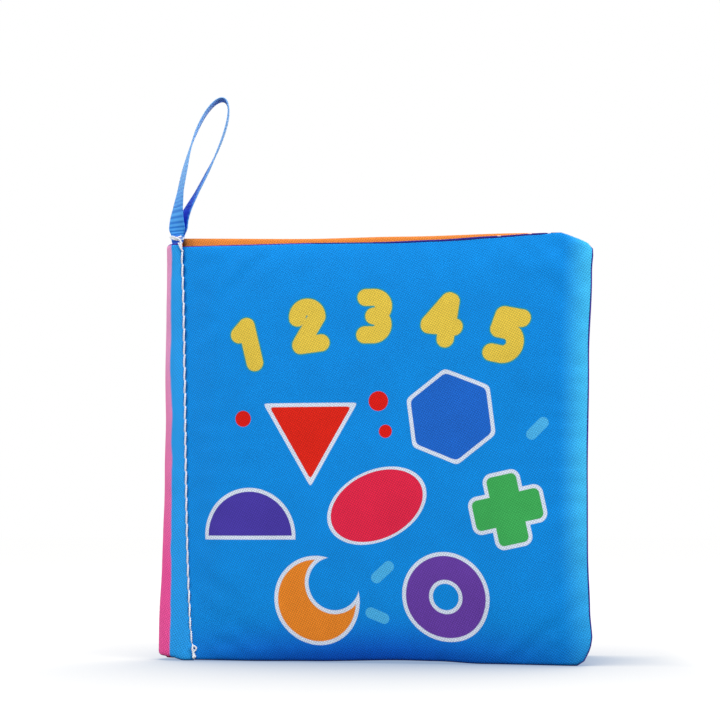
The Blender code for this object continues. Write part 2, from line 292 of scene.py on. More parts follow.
class Leaf:
    """One sewn leaf, measured from its spine edge and its foot."""

    def __init__(self, size, matrix, seed, stitched, seam_turns, edges, crowns=(0.8, 0.8), curl=0.0):
        self.width, self.height = size
        self.matrix = matrix
        self.seed = seed
        self.stitched = stitched
        self.seam_turns = seam_turns
        self.fore_line, self.top_line, self.foot_line = edges
        self.crowns = {-1: crowns[0] * mm, 1: crowns[1] * mm}
        self.curl = curl * mm
        self.swelled = swelled_cloth(*size, seed)
        # For the top and the foot: how far the corner's cut runs along the edge and down the fore-edge,
        # and its two slopes there
        self.corners = ((8.9 * mm, 5.2 * mm, 0.76, 0.32), (2.7 * mm, 7.6 * mm, 0.74, 0.74))

    def flat(self, across, up):
        """A point of the cut, from shares each way, with the two fore-edge corners cut off and softened."""
        far, tall = self.width - rim_reach, self.height - 2 * rim_reach
        sharpness = 14
        x, z = across * far, up * tall
        for at_top, (run, drop, high_slope, low_slope) in zip((True, False), self.corners):
            run, drop = run - rim_reach, drop - rim_reach
            from_end = tall - z if at_top else z
            a, b = 1 - (far - x) / run, 1 - from_end / drop
            if a > 0 and b > 0:
                lines = (b + high_slope * a) ** sharpness + (a + low_slope * b) ** sharpness
                shrink = max(a, b) / lines ** (1 / sharpness)
                x = far - run * (1 - a * shrink)
                from_end = drop * (1 - b * shrink)
                z = tall - from_end if at_top else from_end
        return x, z + rim_reach

    def drawn(self, x, z):
        """Where a point of the cut lies once sewing has drawn the edges to their real lines."""
        spine = stitch_x(z) if self.stitched else 0
        fore = self.width + along(self.fore_line, z / self.height) * mm
        top = along(self.top_line, x / self.width) * mm
        foot = along(self.foot_line, x / self.width) * mm
        share = z / self.height
        return spine + (fore - spine) * x / self.width, z + top * share**3 + foot * (1 - share) ** 3

    def middle(self, x, z):
        """How far the middle of the leaf lies out of its plane, for it curls a little."""
        sway = 0.5 * mm * ripple(x, z, self.seed + 30, 70 * mm)
        return self.curl * (x / self.width) ** 2 + sway * ease(x / (30 * mm))

    def half(self, x):
        """Half the leaf's thickness before the filling swells it."""
        if not self.stitched:
            return rim_radius
        return stitched_half + (rim_radius - stitched_half) * ease(x / (4 * mm))

    def swell(self, x, z, side):
        """The push of the filling on one face, from 0 at the seams to about 1 where it is full."""
        if self.swelled is None:
            full = 1
            for distance, band in ((self.height - z, 13 * mm), (z, 26 * mm), (self.width - x, 11 * mm)):
                full *= sin(pi / 2 * min(max(distance - rim_reach, 0) / band, 1))
            return full
        columns, rows, heights = self.swelled
        across = min(max(x / self.width, 0), 1) * columns
        up = min(max(z / self.height, 0), 1) * rows
        column, row = min(int(across), columns - 1), min(int(up), rows - 1)
        along_rows = []
        for at in range(row - 1, row + 3):
            start = ((side + 1) * (rows + 1) // 2 + min(max(at, 0), rows)) * (columns + 1)
            four = [heights[start + min(max(place, 0), columns)] for place in range(column - 1, column + 3)]
            along_rows.append(soft_step(*four, across - column))
        height = soft_step(*along_rows, up - row)
        return 1.08 * (1 - exp(-max(height, 0) / (3.4 * mm)))

    def lift(self, x, z, side):
        """How far filling, creases and stitches lift the cloth at a point of the cut."""
        to_top, to_foot, to_fore = self.height - z, z, self.width - x
        near = max(min(to_top, to_foot, to_fore) - rim_reach, 0)
        freed = ease(x / (9 * mm)) if self.stitched else ease(x / crown_band)
        seed = self.seed + 5.3 * side
        full = self.crowns[side] * self.swell(x, z, side)
        tucked = ease(x / (0.25 * self.width)) * ease((self.width - x) / (0.4 * self.width))
        under = 1 - min(max(to_foot - rim_reach, 0) / (13 * mm), 1)
        full += 0.42 * self.crowns[side] * tucked * (sqrt(1 - under**2) - 1 + under**2)
        broad = 0.36 * mm * ripple(x, z, seed, 33 * mm) + 0.12 * mm * ripple(x, z * 0.7, seed + 2, 11 * mm)
        pucker = exp(-to_top / (3.5 * mm)) * ripple(x, z * 0.2, seed + 3, 3.1 * mm)
        pucker += exp(-to_foot / (3.5 * mm)) * ripple(x, z * 0.2, seed + 4, 3.4 * mm)
        pucker += exp(-to_fore / (3.5 * mm)) * ripple(x * 0.2, z, seed + 5, 3.3 * mm)
        height = (full + broad * ease(near / (7 * mm))) * freed + 0.2 * mm * pucker * ease(x / (5 * mm))
        if self.stitched:
            held = 0.5 - 0.5 * cos(2 * pi * z / stitch_pitch)
            height += 0.12 * mm * held * exp(-((x - 1.1 * mm) / (0.9 * mm)) ** 2)
        return height

    def seam_turn(self, x, z):
        """Where round the rim the seam lies, in degrees: 0 is its outermost line, -90 its front."""
        top_line, at_fore, at_foot = self.seam_turns
        waver = 9 * ripple(x, z, self.seed + 9, 14 * mm)
        if z > self.height / 2:
            on_side = ease((self.height - z - 3.6 * mm) / (2 * mm))
            return along(top_line, x / self.width) * (1 - on_side) + at_fore * on_side + waver
        return at_foot + (at_fore - at_foot) * ease(1 - (self.width - x) / (9 * mm)) + waver


def new_cloth():
    """An empty mesh with a layer for each point's place on the cut cloth."""
    bm = bmesh.new()
    return bm, bm.verts.layers.float_vector.new("cut")


def cloth_grid(columns, rows):
    """A grid from -1 to 1, with a layer for the numbers of its rim's points."""
    bm, cut = new_cloth()
    bm.verts.layers.int.new("rim_number")
    bmesh.ops.create_grid(bm, x_segments=columns, y_segments=rows, size=1)
    return bm, cut


# Points of such a grid that lie beyond this are on its edge
at_edge = 0.9999


def lay_out(bm):
    """Gives the mesh its place on the cut cloth as a UV map, in metres."""
    cut = bm.verts.layers.float_vector["cut"]
    uv = bm.loops.layers.uv.new("cut")
    for face in bm.faces:
        for loop in face.loops:
            loop[uv].uv = loop.vert[cut].xy
    bm.verts.layers.float_vector.remove(cut)


def roll_rim(bm, edges, rim, side, seam_turn):
    """Rolls open edges over a soft rim to the seam, where the cloth tucks in between the two layers.
    rim gives each edge vertex the middle of the rim, the ways out of it and across it, its radius,
    the swell of the cloth beside it, and the turn of its seam."""
    number = bm.verts.layers.int["rim_number"]
    cut = bm.verts.layers.float_vector["cut"]
    places = []
    for vertex, place in rim.items():
        vertex[number] = len(places)
        places.append((*place, *vertex[cut].xy))
    steps = max(2, round(abs(90 * side - seam_turn) / 20))
    for step in range(1, steps + 2):
        grown = bmesh.ops.extrude_edge_only(bm, edges=edges)["geom"]
        new_verts = {g for g in grown if isinstance(g, bmesh.types.BMVert)}
        edges = [g for g in grown if isinstance(g, bmesh.types.BMEdge) and new_verts.issuperset(g.verts)]
        for vertex in new_verts:
            middle, away, across, radius, swell, seam, x, z = places[vertex[number]]
            reach = rim_reach
            turn = 90 * side + (seam + 9 * side - 90 * side) * min(step / steps, 1)
            if step > steps:
                turn, radius, reach = seam, radius * seam_depth, rim_reach - (1 - seam_depth) * radius
            angle = radians(turn)
            rise = radius * sin(angle) + swell * side * max(side * sin(angle), 0) ** 2
            vertex.co = middle + away * reach * cos(angle) + across * rise
            run_out = (radius + reach) / 2 * abs(angle - radians(90 * side))
            vertex[cut] = (x + away.x * run_out, z + away.z * run_out, 0)
    bm.verts.layers.int.remove(number)


def panel_mesh(leaf, side):
    """One cloth panel of a leaf, with its rim rolled over on the three sewn sides."""
    columns, rows = round(leaf.width / grid_step), round(leaf.height / grid_step)
    bm, cut = cloth_grid(columns, rows)
    across = Vector((0, 1, 0))
    spine_verts = set()
    for vertex in bm.verts:
        if vertex.co.x < -at_edge:
            spine_verts.add(vertex)
        x, z = leaf.flat((vertex.co.x + 1) / 2, (vertex.co.y + 1) / 2)
        vertex[cut] = (x, z, 0)
        drawn_x, drawn_z = leaf.drawn(x, z)
        y = leaf.middle(x, z) + side * (leaf.half(x) + leaf.lift(x, z, side))
        vertex.co = (drawn_x, y, drawn_z)
    edges = [e for e in bm.edges if e.is_boundary and not all(v in spine_verts for v in e.verts)]
    outward = {}
    middle = Vector((leaf.width / 2, 0, leaf.height / 2))
    for edge in edges:
        first, second = edge.verts
        run = second.co - first.co
        normal = Vector((run.z, 0, -run.x)).normalized()
        if normal.dot(first.co - middle) < 0:
            normal.negate()
        for vertex in edge.verts:
            outward[vertex] = outward.get(vertex, Vector()) + normal
    rim = {}
    for vertex, normal in outward.items():
        if vertex in spine_verts:
            normal.x = 0
        x, z = vertex[cut].xy
        place = Vector((vertex.co.x, leaf.middle(x, z), vertex.co.z))
        swell = leaf.lift(x, z, side)
        rim[vertex] = (place, normal.normalized(), across, leaf.half(x), swell, leaf.seam_turn(x, z))
    roll_rim(bm, edges, rim, side, leaf.seam_turns[1])
    lay_out(bm)
    return bm


def finish_piece(name, bm, matrix, material, node, thickness=0, outside=None):
    """The object that stands for a CAD node, its place in its mesh, with a wall where thickness says so."""
    bmesh.ops.transform(bm, matrix=matrix, verts=bm.verts)
    bmesh.ops.recalc_face_normals(bm, faces=bm.faces)
    if outside:
        facing = sum((f.normal * f.calc_area() for f in bm.faces), Vector())
        if facing.dot(matrix.to_3x3() @ Vector(outside)) < 0:
            bmesh.ops.reverse_faces(bm, faces=bm.faces)
    mesh = bpy.data.meshes.new(name)
    bm.to_mesh(mesh)
    bm.free()
    mesh.shade_smooth()
    mesh.materials.append(material)
    piece = put_in(name, mesh)
    if thickness:
        wall = piece.modifiers.new("cloth", "SOLIDIFY")
        wall.thickness = thickness
        wall.offset = -1
        graph = bpy.context.evaluated_depsgraph_get()
        piece.data = bpy.data.meshes.new_from_object(piece.evaluated_get(graph))
        piece.modifiers.clear()
    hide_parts(node)
    return piece


woven_finish = {"Roughness": 0.7, "Specular IOR Level": 0.12, "Sheen Weight": 0.06, "Sheen Roughness": 0.4}
# A wave texture of scale 1 has its bands this far apart
wave_pitch = pi / 10


def twill(name, print_cloth):
    """Printed polyester twill, matt with a faint sheen. Its steep ribs and the yarns across them lie a
    little under 0.6 mm apart, about twice the real spacing, so that they show."""
    material, tree, shader = new_material(name)
    cut = add_node(tree, "UVMap", uv_map="cut")
    in_mm = add_node(tree, "VectorMath", {0: cut, "Scale": 1 / mm}, "SCALE")
    colour = print_cloth(tree, in_mm)
    weave = None
    for turn, pitch, weight in ((30, 0.58, 0.46), (-62, 0.56, 0.4)):
        way = add_node(tree, "Mapping", {0: in_mm, "Rotation": (0, 0, radians(turn))})
        links = {0: way, "Scale": wave_pitch / pitch, "Distortion": 1.1, "Detail": 1.0, "Detail Scale": 1.5}
        wave = add_node(tree, "TexWave", links).outputs["Fac"]
        if weave is None:
            weave = add_node(tree, "Math", (wave, weight), "MULTIPLY")
        else:
            weave = add_node(tree, "Math", (wave, weight, weave), "MULTIPLY_ADD")
    links = {"Vector": in_mm, "Scale": 2.2, "Detail": 2.0, "Roughness": 0.6}
    yarns = add_node(tree, "TexNoise", links)
    weave = add_node(tree, "Math", (yarns, 0.5, weave), "MULTIPLY_ADD")
    links = {"Vector": in_mm, "Scale": 0.09, "Detail": 3.0, "Roughness": 0.55}
    uneven = add_node(tree, "TexNoise", links)
    tone = add_node(tree, "MapRange", (weave, 0.2, 1.2, 0.68, 1.34))
    shade = add_node(tree, "MapRange", (uneven, 0.3, 0.7, 0.95, 1.05))
    tone = add_node(tree, "Math", (tone, shade), "MULTIPLY")
    toned = add_node(tree, "VectorMath", {0: colour, "Scale": tone}, "SCALE")
    bump = add_node(tree, "Bump", {"Height": weave, "Strength": 0.5, "Distance": 0.1 * mm})
    links = {"Base Color": toned, "Normal": bump, "Sheen Tint": hex_colour("#CFE6FF"), **woven_finish}
    feed(tree, shader, links)
    return material


def placed(tree, cut, centre, turn=0.0):
    """The cut's millimetres seen from the middle of a printed shape that is turned by degrees."""
    links = {0: cut, "Location": (*centre, 0), "Rotation": (0, 0, radians(turn))}
    return add_node(tree, "Mapping", links, vector_type="TEXTURE")


def printed_bar(tree, cut, centre, turn, half_length, half_width, radius):
    """Distance to a bar with round corners, below 0 inside it."""
    local = placed(tree, cut, centre, turn)
    folded = add_node(tree, "VectorMath", (local,), "ABSOLUTE")
    past = add_node(tree, "VectorMath", (folded, (half_length, half_width, 0)), "SUBTRACT")
    past = add_node(tree, "VectorMath", (past, (0, 0, 0)), "MAXIMUM")
    far = add_node(tree, "VectorMath", (past,), "LENGTH")
    return add_node(tree, "Math", (far, radius), "SUBTRACT")


def printed_stroke(tree, cut, start, end, radius):
    centre = ((start[0] + end[0]) / 2, (start[1] + end[1]) / 2)
    run, rise = end[0] - start[0], end[1] - start[1]
    turn = degrees(atan2(rise, run))
    return printed_bar(tree, cut, centre, turn, hypot(run, rise) / 2, 0, radius)


def printed_bow(tree, cut, centre, turn, bend, radius):
    """Distance to a thick half ring, open downwards before it is turned."""
    split = add_node(tree, "SeparateXYZ", (placed(tree, cut, centre, turn),))
    above = add_node(tree, "Math", (split.outputs[1], 0.0), "MAXIMUM")
    below = add_node(tree, "Math", (split.outputs[1], 0.0), "MINIMUM")
    upper = add_node(tree, "CombineXYZ", (split.outputs[0], above))
    far = add_node(tree, "VectorMath", (upper,), "LENGTH")
    off = add_node(tree, "Math", (far, bend), "SUBTRACT")
    both = add_node(tree, "CombineXYZ", (off, below))
    far = add_node(tree, "VectorMath", (both,), "LENGTH")
    return add_node(tree, "Math", (far, radius), "SUBTRACT")


def printed_disc(tree, cut, centre, radius, squash=1.0, turn=0.0):
    local = placed(tree, cut, centre, turn)
    local.inputs["Scale"].default_value = (1, squash, 1)
    far = add_node(tree, "VectorMath", (local,), "LENGTH")
    return add_node(tree, "Math", (far, radius), "SUBTRACT")


def printed_polygon(tree, cut, centre, turn, sides, inner_radius, rounding=1.6):
    """Distance to a regular polygon with softened corners."""
    local = placed(tree, cut, centre, turn)
    nearest = None
    for side in range(sides):
        angle = 2 * pi * side / sides
        facing = (local, (cos(angle), sin(angle), 0))
        plane = add_node(tree, "VectorMath", facing, "DOT_PRODUCT")
        if nearest is None:
            nearest = plane
        else:
            links = (nearest, plane, rounding)
            nearest = add_node(tree, "Math", links, "SMOOTH_MAX")
    return add_node(tree, "Math", (nearest, inner_radius), "SUBTRACT")


def joined(tree, shapes):
    whole = shapes[0]
    for shape in shapes[1:]:
        whole = add_node(tree, "Math", (whole, shape), "MINIMUM")
    return whole


def cut_out(tree, shape, hole):
    inverse = add_node(tree, "Math", (hole, -1.0), "MULTIPLY")
    return add_node(tree, "Math", (shape, inverse), "MAXIMUM")


def printed_ring(tree, cut, centre, radius, hole_radius):
    outside, inside = (printed_disc(tree, cut, centre, size) for size in (radius, hole_radius))
    return cut_out(tree, outside, inside)


def printed_cross(tree, cut, centre, turn, *bar):
    return joined(tree, [printed_bar(tree, cut, centre, turn + more, *bar) for more in (0, 90)])


def inked(tree, ground, shape, code, border=0.0):
    """The ground with a shape printed over it in one ink, grown by border."""
    edge = 0.09
    mask = add_node(tree, "MapRange", (shape, border + edge, border - edge))
    links = {0: mask, 6: ground, 7: hex_colour(code)}
    return add_node(tree, "Mix", links, data_type="RGBA")


def bordered(tree, ground, shape, code, border=1.05):
    """A printed shape with a pale outline."""
    return inked(tree, inked(tree, ground, shape, "#DCE7F8", border), shape, code)


# The strokes of chunky numerals 15 mm tall: straight ones by their two ends, and bows by their middle,
# turn and bend
numeral_strokes = {
    1: [((-2.2, 3.4), (0.3, 5.2)), ((0.3, 5.2), (0.3, -5.2))],
    2: [((0.0, 2.5), 0, 2.7), ((2.7, 2.2), (-2.7, -5.0)), ((-2.7, -5.2), (3.0, -5.2))],
    3: [((-2.6, 5.2), (-0.4, 5.2)), ((-0.4, 2.6), -90, 2.6), ((-0.4, -2.6), -90, 2.6),
        ((-2.8, -5.2), (-0.4, -5.2))],
    4: [((1.0, 5.2), (-3.4, -1.4)), ((-3.4, -1.8), (3.4, -1.8)), ((1.5, 5.0), (1.5, -5.2))],
    5: [((-2.0, 5.2), (2.8, 5.2)), ((-2.2, 5.2), (-2.5, 1.4)), ((-0.6, -1.9), -90, 3.3),
        ((-2.4, 1.4), (-0.4, 1.4)), ((-3.0, -5.2), (-0.6, -5.2))],
}


def printed_numeral(tree, cut, number, centre, turn):
    local = placed(tree, cut, centre, turn)
    half_stroke = 2.35
    parts = []
    for stroke in numeral_strokes[number]:
        draw = printed_stroke if len(stroke) == 2 else printed_bow
        parts.append(draw(tree, local, *stroke, half_stroke))
    return joined(tree, parts)


def page_print(ground_code, shape_code, kind, count=5, pitch=18.6):
    """A page of one small motif in so many rows and columns, kept clear of the seams."""
    def print_cloth(tree, cut):
        middle = placed(tree, cut, (page_width / mm / 2, cover_height / mm / 2))
        half = (pitch / 2, pitch / 2, 1)
        links = (middle, half, tuple(-h for h in half))
        repeated = add_node(tree, "VectorMath", links, "WRAP")
        if kind == "rings":
            shape = printed_ring(tree, repeated, (0, 0), 5.2, 2.4)
        elif kind == "crosses":
            shape = printed_cross(tree, repeated, (0, 0), 0, 3.6, 0.4, 1.2)
        elif kind == "dots":
            shape = printed_disc(tree, repeated, (0, 0), 4.2)
        else:
            sides = {"triangles": 3, "hexagons": 6, "squares": 4}[kind]
            shape = printed_polygon(tree, repeated, (0, 0), 90, sides, 3.4, 0.7)
        reach = count * pitch / 2 - 1
        area = printed_bar(tree, middle, (0, 0), 0, reach, reach, 1)
        shape = add_node(tree, "Math", (shape, area), "MAXIMUM")
        return bordered(tree, hex_colour(ground_code), shape, shape_code, 0.9)
    return print_cloth


# Front cover. Blue outside and purple inside, its seam rolled a little to the front so that a purple
# line shows round the blue. The print is plain numbers on an arch over a scatter of plain shapes.
def cover_print(tree, cut):
    # Painted shade: the blue deepens towards the middle of the foot
    low = printed_disc(tree, cut, (50, -4), 0, squash=0.22)
    painted_foot_shade = add_node(tree, "MapRange", (low, 88.0, 12.0), interpolation_type="SMOOTHSTEP")
    links = {0: painted_foot_shade, 6: hex_colour("#068EE6"), 7: hex_colour("#0454CE")}
    colour = add_node(tree, "Mix", links, data_type="RGBA")
    # Painted highlight: a light cyan along the fore-edge, weaker towards the foot
    split = add_node(tree, "SeparateXYZ", (cut,))
    links = (split, 103.5, 112.4, 0.0, 0.94)
    painted_highlight = add_node(tree, "MapRange", links, interpolation_type="SMOOTHSTEP")
    highlight_by_height = add_node(tree, "MapRange", (split.outputs[1], 2.0, 44.0, 0.3))
    painted_highlight = add_node(tree, "Math", (painted_highlight, highlight_by_height), "MULTIPLY")
    links = {0: painted_highlight, 6: colour, 7: hex_colour("#48CAFF")}
    colour = add_node(tree, "Mix", links, data_type="RGBA")
    yellow = joined(tree, [printed_numeral(tree, cut, number, centre, turn) for number, centre, turn in (
        (1, (19, 86.5), 13), (2, (35.5, 91.5), 7), (3, (54, 94), 0), (4, (72.5, 92.5), -7),
        (5, (90, 87.5), -13))])
    colour = inked(tree, inked(tree, colour, yellow, "#2C9A9E", 0.35), yellow, "#E9C94A")
    triangle = printed_polygon(tree, cut, (36, 62.5), 90, 3, 6.6)
    hexagon = printed_polygon(tree, cut, (75, 66), 8, 6, 10.4)
    dome = printed_disc(tree, cut, (18.5, 34), 12)
    dome = cut_out(tree, dome, printed_polygon(tree, cut, (18.5, 34), 90, 1, 0))
    oval = printed_disc(tree, cut, (54.5, 42), 13.5, squash=0.66, turn=24)
    cross = printed_cross(tree, cut, (90.5, 41), 12, 7.8, 2.6, 1.5)
    crescent = cut_out(tree, printed_disc(tree, cut, (37, 16.5), 11), printed_disc(tree, cut, (42, 21), 8.2))
    ring = printed_ring(tree, cut, (73, 17.5), 11, 4.6)
    for shape, ink in ((triangle, "#E42313"), (hexagon, "#1C68CF"), (dome, "#4A3AA8"), (oval, "#E8264A"),
                       (cross, "#3FAE58"), (crescent, "#F08A28"), (ring, "#6A3FA6")):
        colour = bordered(tree, colour, shape, ink)
    for centre, radius in (((55, 70.5), 2.7), ((57, 62.2), 1.8), ((17, 66), 2.2)):
        colour = inked(tree, colour, printed_disc(tree, cut, centre, radius), "#E2180F")
    for start, end in (((54, 22.5), (57.5, 25.5)), ((52, 13), (55.5, 11.5)), ((97, 61), (100, 64))):
        colour = inked(tree, colour, printed_stroke(tree, cut, start, end, 1.5), "#4DB6EE")
    return colour


level = ((0, 0), (1, 0))
cover_fore_line = ((0, -1.9), (0.05, -1.0), (0.13, -1.6), (0.25, -2.0), (0.42, -1.9), (0.7, -1.3),
                   (0.9, -0.3), (1, 0.6))
cover_top_line = ((0, -0.9), (0.28, -0.8), (0.5, -1.1), (0.62, -0.9), (0.76, -0.3), (0.88, 0.15), (1, 0.1))
cover_foot_line = ((0, 0.2), (0.15, 0.1), (0.3, 0.25), (0.54, 0.8), (0.62, 0.7), (0.74, 0.15), (1, 0.0))
cover_seam_top = ((0, -36), (0.3, -44), (0.6, -62), (0.7, -74), (0.86, -66), (0.935, 5), (1, 5))

front_place = turned(joint_place["front_cover_hinge"], -8, (0, hinge_lead + cover_mid, 0))
front_leaf = Leaf((cover_width, cover_height), front_place, 1.0, True, (cover_seam_top, -40, -20),
                  (cover_fore_line, cover_top_line, cover_foot_line), crowns=(2.3, 0.9), curl=-2.6)


def bend_at_stitches(piece):
    """Bakes the panel's place into its mesh."""
    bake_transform(piece)


def leaf_panel(name, leaf, side, ink, print_cloth):
    """A printed panel of a leaf, before its middle where side is -1 and behind it where side is 1."""
    material = twill(f"printed_{ink}_twill", print_cloth)
    return finish_piece(f"{name}_cloth", panel_mesh(leaf, side), leaf.matrix, material, f"{name}_panel",
                        cloth, (0, side, 0))


def inner_print(tree, cut):
    """Rings on purple, with a painted shade band of dark navy along the top seam, where a few closing
    stitches show.
    """
    colour = page_print("#4A3AA8", "#52B8EE", "rings")(tree, cut)
    # Painted shade: dark navy along the top seam, where the purple lies in shadow
    band = printed_bar(tree, cut, (70, 117), 0, 32, 0.2, 2.4)
    colour = inked(tree, colour, band, "#241F7E")
    stitches = [printed_stroke(tree, cut, (x, 115.4), (x + 0.5, 115.5), 0.3) for x in (86.4, 94.6, 99.6)]
    return inked(tree, colour, joined(tree, stitches), "#F2F6FC")


front_panels = (leaf_panel("front_cover_outer", front_leaf, -1, "blue", cover_print),
                leaf_panel("front_cover_inner", front_leaf, 1, "purple", inner_print))
for piece in front_panels:
    bend_at_stitches(piece)


# Second leaf. Orange in front, where its rounded top shows above the cover, and yellow behind. It stands
# still while the other leaves turn about the spine.
page_top_line = ((0, -0.1), (0.3, -0.4), (0.55, 0.1), (0.85, 0.9), (1, 0.7))
page_seam_top = ((0, 35), (1, 35))
page_fore_line = ((0, -0.3), (0.07, 0.2), (0.3, -1.1), (0.6, -1.2), (0.9, 0.1), (1, 0.2))
second_place = Matrix.Translation(book_place + Vector((0, page_mid, 0)))
second_leaf = Leaf((page_width, page_height), second_place, 2.0, True, (page_seam_top, 10, 0),
                   (page_fore_line, page_top_line, level), curl=-0.8)
orange_print = page_print("#EC8B3C", "#E9C94A", "triangles")
yellow_print = page_print("#E6C445", "#1C68CF", "hexagons")
second_panels = (leaf_panel("second_leaf_front", second_leaf, -1, "orange", orange_print),
                 leaf_panel("second_leaf_back", second_leaf, 1, "yellow", yellow_print))
for piece in second_panels:
    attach(piece, "spine_and_second_leaf")


# Third leaf. The other half of the inner spread, green in front and red behind. It turns about the fold
# of that spread and takes the back cover with it.
back_page_mid = 2 * roll_radius - page_mid
centre_axis = joint_place["centre_hinge"]
third_offset = Vector((back_start, back_page_mid, 0)) + book_place - centre_axis
third_leaf = Leaf((page_width - back_start, page_height), turned(centre_axis, 3, third_offset), 3.0, False,
                  (level, 0, 0), (page_fore_line, level, level), curl=0.8)
green_print = page_print("#3FAE58", "#E42313", "dots")
red_print = page_print("#DD2414", "#E9C94A", "crosses")
third_panels = (leaf_panel("third_leaf_front", third_leaf, -1, "green", green_print),
                leaf_panel("third_leaf_back", third_leaf, 1, "red", red_print))
for piece in third_panels:
    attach(piece, "third_leaf")


# Back cover. Sky blue inside and pink outside; the pink print starts on the roll of the spine. At rest it
# is fanned out a little further than the third leaf.
back_place = turned(joint_place["back_cover_hinge"], 7, (0, -(hinge_lead + cover_mid), 0))
back_leaf = Leaf((cover_width - back_start, cover_height), back_place, 4.0, False, (level, 20, 0),
                 (page_fore_line, level, level), crowns=(0.9, 0.9), curl=2.0)
sky_print = page_print("#4DB6EE", "#4A3AA8", "squares")
pink_print = page_print("#F857A2", "#E9C94A", "rings", 3, 31.0)
back_panels = (leaf_panel("back_cover_inner", back_leaf, -1, "sky", sky_print),
               leaf_panel("back_cover_outer", back_leaf, 1, "pink", pink_print))
for piece in back_panels:
    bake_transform(piece)


# Filling. In every leaf a clear film that crackles lies on a thin sheet of polyester wadding, both cut
# 8 mm short of the seams.
filling_inset = 8 * mm


def slab(bm, columns, rows, place):
    """A closed slab: two grids, set out by place(across, up, face), joined round their edges."""
    cut = bm.verts.layers.float_vector["cut"]
    for face in (-1, 1):
        made = bmesh.ops.create_grid(bm, x_segments=columns, y_segments=rows, size=1)["verts"]
        for vertex in made:
            spot, x, z = place((vertex.co.x + 1) / 2, (vertex.co.y + 1) / 2, face)
            vertex.co, vertex[cut] = spot, (x, z, 0)
    bmesh.ops.bridge_loops(bm, edges=[e for e in bm.edges if e.is_boundary])


def room(leaf, x, z, side):
    """How far from the leaf's middle the inner face of its cloth lies."""
    return leaf.half(x) + leaf.lift(x, z, side) - cloth - 0.05 * mm


def fill_leaf(name, leaf, facing, body):
    """The film on the side of a leaf that facing names, and the wadding behind it, under its panels."""
    wide, tall = leaf.width - 2 * filling_inset, leaf.height - 2 * filling_inset
    at_film = 0.62
    film_half = 0.03 * mm
    under_film = 0.34 * mm

    def crumple(x, z):
        coarse = 1 - 2 * abs(ripple(x, z, leaf.seed + 20, 12 * mm))
        fine = 1 - 2 * abs(ripple(x, z, leaf.seed + 21, 5 * mm))
        return (0.16 * coarse + 0.08 * fine - 0.12) * mm

    def film_place(across, up, face):
        x, z = filling_inset + wide * across, filling_inset + tall * up
        y = at_film * room(leaf, x, z, facing) + crumple(x, z)
        drawn_x, drawn_z = leaf.drawn(x, z)
        return Vector((drawn_x, leaf.middle(x, z) + facing * y + film_half * face, drawn_z)), x, z

    def wadding_place(across, up, face):
        x, z = filling_inset + wide * across, filling_inset + tall * up
        drawn_x, drawn_z = leaf.drawn(x, z)
        edge = min(across * wide, (1 - across) * wide, up * tall, (1 - up) * tall)
        loft = 0.55 + 0.45 * ease(edge / (4 * mm)) + 0.1 * ripple(x, z, leaf.seed + 22, 4 * mm)
        low = -room(leaf, x, z, -facing) * min(loft, 1)
        high = (at_film * room(leaf, x, z, facing) - under_film) * min(loft, 1)
        y = high if face * facing > 0 else low
        return Vector((drawn_x, leaf.middle(x, z) + facing * y, drawn_z)), x, z

    made = []
    for title, place, step, material, part in (
        ("film", film_place, 1.6 * mm, clear_film, "crinkle_film"),
        ("wadding_sheet", wadding_place, 2.2 * mm, fibre, "wadding"),
    ):
        bm, _ = new_cloth()
        slab(bm, round(wide / step), round(tall / step), place)
        lay_out(bm)
        made.append(finish_piece(f"{name}_{title}", bm, leaf.matrix, material, f"{name}_{part}"))
        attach(made[-1], body)


# Clear biaxially drawn film, glossy, with fine creases all over
clear_film, tree, shader = new_material("clear_crinkle_film")
cut = add_node(tree, "UVMap", uv_map="cut")
creases = add_node(tree, "TexVoronoi", {"Vector": cut, "Scale": 230.0}, feature="DISTANCE_TO_EDGE")
haze = add_node(tree, "MapRange", (creases, 0.0, 0.08, 0.34, 0.12))
bump = add_node(tree, "Bump", {"Height": creases, "Strength": 0.6, "Distance": 0.4 * mm})
feed(tree, shader, {"Base Color": hex_colour("#EEF3F7"), "Normal": bump, "Roughness": haze,
                    "Transmission Weight": 0.85, "IOR": 1.48})

# Bonded polyester wadding, off-white, with loose fibres
fibre, tree, shader = new_material("polyester_wadding")
cut = add_node(tree, "UVMap", uv_map="cut")
drawn_out = add_node(tree, "Mapping", {0: cut, "Rotation": (0, 0, 0.5), "Scale": (700, 3600, 1)})
fibres = add_node(tree, "TexNoise", {"Vector": drawn_out, "Scale": 1.0, "Detail": 5.0, "Distortion": 1.6})
tone = add_node(tree, "ValToRGB", (fibres,))
for stop, place, code in zip(tone.color_ramp.elements, (0.32, 0.7), ("#D9D8D2", "#F5F4EF")):
    stop.position, stop.color = place, hex_colour(code)
bump = add_node(tree, "Bump", {"Height": fibres, "Strength": 0.8, "Distance": 0.3 * mm})
feed(tree, shader, {"Base Color": tone, "Normal": bump, "Roughness": 0.96})

for name, leaf, facing, body, panels in (
    ("front_cover", front_leaf, -1, "front_cover", front_panels),
    ("second_leaf", second_leaf, -1, "spine_and_second_leaf", second_panels),
    ("third_leaf", third_leaf, 1, "third_leaf", third_panels),
    ("back_cover", back_leaf, 1, "back_cover", back_panels),
):
    fill_leaf(name, leaf, facing, body)


# Spine. The cloth of each spread runs on from the stitches round a soft roll to the leaf behind. On the
# outer spread the blue print ends on the front of the roll and the pink of the back cover begins.
def roll_left(z):
    """How far left the roll bulges, more towards its foot."""
    return along(((0, -8.1), (0.13, -7.7), (0.3, -6.85), (0.5, -6.6), (1, -6.45)), z / cover_height) * mm


def roll_centre(z):
    return min((-2.45 + 1.7 * z / cover_height) * mm, stitch_x(z) - 0.1 * mm)


